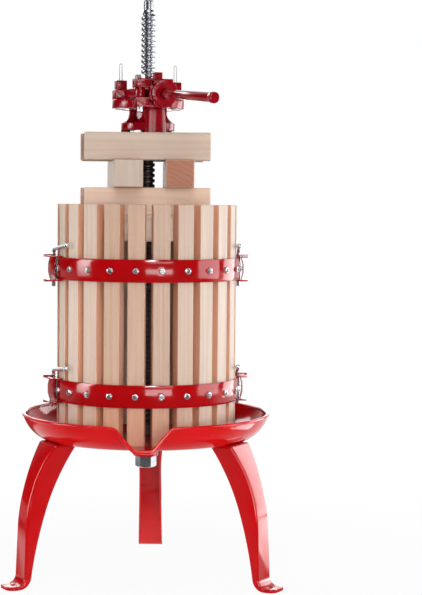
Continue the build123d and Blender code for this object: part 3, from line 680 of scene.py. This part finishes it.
def make_column_face():
    low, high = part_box("thrust_bell")
    rings = []
    for row in range(FACE_ROWS + 1):
        share = row / FACE_ROWS
        height = low.z + FACE_LIFT + share * (high.z - low.z - 2 * FACE_LIFT)
        radius = FACE_FOOT_RADIUS + share * (FACE_TOP_RADIUS - FACE_FOOT_RADIUS)
        half = FACE_FOOT_HALF + share * (FACE_TOP_HALF - FACE_FOOT_HALF)
        section = [(FACE_INNER, -half)]
        for column in range(FACE_COLUMNS + 1):
            across = half * math.sin(math.pi * (column / FACE_COLUMNS - 0.5))
            over = max(0.0, abs(across) - (half - FACE_EDGE)) / FACE_EDGE
            drop = FACE_EDGE * (1 - math.sqrt(max(0.0, 1 - over * over)))
            section.append((math.sqrt(radius * radius - across * across) - drop, across))
        section.append((FACE_INNER, half))
        rings.append([place_round(FACE_AZIMUTH, out, across, height) for out, across in section])
    points = []
    faces = join_rings(points, rings)
    body = node_body["thrust_bell"]
    make_piece("bell_column_face", points, faces, casting, FACE_SHARP, body)


make_column_face()


# Camera

camera_data = bpy.data.cameras.new("camera")
camera_data.lens = LENS
camera_data.sensor_width = SENSOR_WIDTH
camera_data.clip_end = VIEW_DEPTH
camera = bpy.data.objects.new("camera", camera_data)
bpy.context.scene.collection.objects.link(camera)
aim = Matrix.Rotation(math.radians(CAMERA_YAW), 4, "Z")
aim = aim @ Matrix.Rotation(math.radians(90 - CAMERA_PITCH), 4, "X")
aim = aim @ Matrix.Rotation(math.radians(CAMERA_ROLL), 4, "Z")
camera.matrix_world = Matrix.Translation(CAMERA_PLACE) @ aim
bpy.context.scene.camera = camera


# Stage and light: where each change of brightness starts and ends, in metres from the screw's axis

FLOOR_SIZE = 8.0
FLOOR_ROUGHNESS = 0.7
FRONT_FADE = (0.25, 0.60)
BEHIND_FADE = (-0.15, 0.25)
NEAR_FADE = (0.60, 0.68)
RIGHT_FADE = (0.10, 0.30)
LEFT_FADE = (-0.80, -1.00)
SHADOW_FADE = (0.3, 0.8)
BOUNCE_FADE = (0.5, 1.1)

# How bright the floor and the room are, where 1 is white
NEAR_FLOOR = 0.22
DIM_FLOOR = 0.06
FAR_LEFT_FLOOR = 0.35
SHADOWED_FLOOR = 0.94
NEAR_FLOOR_GLOW = 0.95
FAR_FLOOR_GLOW = 0.3
DIM_ROOM = 0.03
BRIGHT_ROOM = 0.9
ROOM_GLOW = 0.2

# Directions in which the room turns from dim to bright: towards the back, and away from the left
ROOM_DEPTH_FADE = (0.45, 0.80)
ROOM_SIDE_FADE = (-0.75, -0.45)

# Lamps: azimuth, rise, distance, width, height and radiance, then what differs from a plain softbox
LAMPS = {
    "softbox_left": (-171, 10, 2.2, 0.8, 1.0, 12.5, {"aim": 0.22, "spread": 50.0}),
    "softbox_right": (-8, 9, 2.0, 1.2, 1.1, 4.0, {"aim": 0.30}),
    "softbox_front": (-72, 14, 3.1, 1.5, 0.4, 4.5, {}),
    "softbox_front_low": (-74, -2, 3.0, 1.7, 0.45, 7.0, {}),
    "softbox_base": (-86, 24, 3.2, 1.2, 0.6, 60.0, {"aim": 0.20, "spread": 14.0}),
    "card_back_right": (32, 6, 1.8, 0.9, 1.1, 5.0, {"aim": 0.32, "gleam": True}),
    "card_low": (4, 0, 0.46, 0.30, 0.08, 4.6, {"aim": 0.042, "gleam": True}),
    "card_back": (91, 13, 3.2, 2.0, 0.9, 2.0, {"aim": 0.0, "gleam": True}),
    "card_high": (118, 21, 3.0, 1.3, 0.8, 4.0, {"aim": 0.72, "gleam": True}),
    "card_leg_left": (-135, 48, 2.6, 0.7, 0.7, 26.0, {"aim": 0.10, "spread": 14.0, "gleam": True}),
    "card_leg_right": (-45, 48, 2.6, 0.7, 0.7, 26.0, {"aim": 0.10, "spread": 14.0, "gleam": True}),
    "softbox_top": (-90, 58, 2.4, 1.3, 0.8, 4.2, {}),
}
LAMP_AIM = 0.42
FULL_SPREAD = 180.0


def make_floor():
    """White floor that keeps the shadow near the press and runs into the white background."""
    mesh = bpy.data.meshes.new("floor")
    corners = [(x * FLOOR_SIZE, y * FLOOR_SIZE, 0) for x, y in ((-1, -1), (1, -1), (1, 1), (-1, 1))]
    mesh.from_pydata(corners, [], [(0, 1, 2, 3)])
    floor = bpy.data.objects.new("floor", mesh)
    bpy.context.scene.collection.objects.link(floor)
    material, tree, shader = new_material("floor_white")
    shader.inputs["Base Color"].default_value = rgba(FLOOR_WHITE)
    shader.inputs["Roughness"].default_value = FLOOR_ROUGHNESS
    shader.inputs["Specular IOR Level"].default_value = 0.0
    path = add(tree, "ShaderNodeLightPath").outputs
    place = object_coordinates(tree)
    reach = calculate_vector(tree, "LENGTH", place).outputs["Value"]
    parts = split_vector(tree, place)

    front = remap(tree, reach, *FRONT_FADE, NEAR_FLOOR, DIM_FLOOR)
    behind = remap(tree, parts["Y"], *BEHIND_FADE, front, 1.0)
    near = remap(tree, reach, *NEAR_FADE, 1.0, DIM_FLOOR)
    right = remap(tree, parts["X"], *RIGHT_FADE, DIM_FLOOR, 1.0)
    left = remap(tree, parts["X"], *LEFT_FADE, DIM_FLOOR, FAR_LEFT_FLOOR)
    beside = calculate(tree, "MAXIMUM", near, calculate(tree, "MAXIMUM", left, right))
    mirrored = calculate(tree, "MULTIPLY", behind, beside)
    strength = blend_value(tree, path["Is Glossy Ray"], 1.0, mirrored)
    glow = add(tree, "ShaderNodeEmission", {"Color": rgba(WHITE), "Strength": strength})

    open_floor = remap(tree, reach, *SHADOW_FADE, SHADOWED_FLOOR, 1.0)
    bounced = remap(tree, reach, *BOUNCE_FADE, NEAR_FLOOR_GLOW, FAR_FLOOR_GLOW)
    lit = blend_value(tree, path["Is Diffuse Ray"], 1.0, bounced)
    share = blend_value(tree, path["Is Camera Ray"], lit, open_floor)
    mix = add(tree, "ShaderNodeMixShader", {0: share, 1: shader.outputs[0], 2: glow.outputs[0]})
    tree.links.new(mix.outputs[0], tree.nodes["Material Output"].inputs["Surface"])
    set_material(floor, material)


def make_world():
    """White behind the object, dim in front of it, as in a small studio."""
    world = bpy.data.worlds.new("studio")
    bpy.context.scene.world = world
    world.use_nodes = True
    tree = world.node_tree
    back = tree.nodes["Background"]
    direction = split_vector(tree, add(tree, "ShaderNodeTexCoord").outputs["Generated"])
    depth = remap(tree, direction["Y"], *ROOM_DEPTH_FADE, DIM_ROOM, BRIGHT_ROOM)
    side = remap(tree, direction["X"], *ROOM_SIDE_FADE, DIM_ROOM, 1.0)
    wall = calculate(tree, "MULTIPLY", depth, side)
    path = add(tree, "ShaderNodeLightPath").outputs
    lit = blend_value(tree, path["Is Diffuse Ray"], wall, ROOM_GLOW)
    seen = blend_value(tree, path["Is Camera Ray"], lit, 1.0)
    back.inputs["Color"].default_value = rgba(WHITE)
    tree.links.new(seen, back.inputs["Strength"])


def add_lamp(name, azimuth, rise, distance, width, height, radiance,
             aim=LAMP_AIM, spread=FULL_SPREAD, gleam=False):
    """A rectangular lamp round the press, turned to a height on its axis; radiance is how white it looks.

    A gleam is a white card: it shows in gloss and gives no light of its own.
    """
    target = Vector((0, 0, aim))
    around = math.radians(azimuth)
    above = math.radians(rise)
    data = bpy.data.lights.new(name, "AREA")
    data.shape = "RECTANGLE"
    data.size = width
    data.size_y = height
    data.energy = radiance * math.pi * width * height
    if spread < FULL_SPREAD:
        data.spread = math.radians(spread)
        half = data.spread / 2
        data.energy *= 1.0 - half / math.tan(half)
    lamp = bpy.data.objects.new(name, data)
    lamp.visible_camera = False
    lamp.visible_diffuse = not gleam
    bpy.context.scene.collection.objects.link(lamp)
    level = math.cos(above) * distance
    offset = Vector((level * math.cos(around), level * math.sin(around), math.sin(above) * distance))
    lamp.location = target + offset
    lamp.rotation_mode = "QUATERNION"
    lamp.rotation_quaternion = (-offset).to_track_quat("-Z", "Y")


make_floor()
make_world()
for name, (*placing, extras) in LAMPS.items():
    add_lamp(name, *placing, **extras)

view_settings = bpy.context.scene.view_settings
view_settings.view_transform = "Standard"
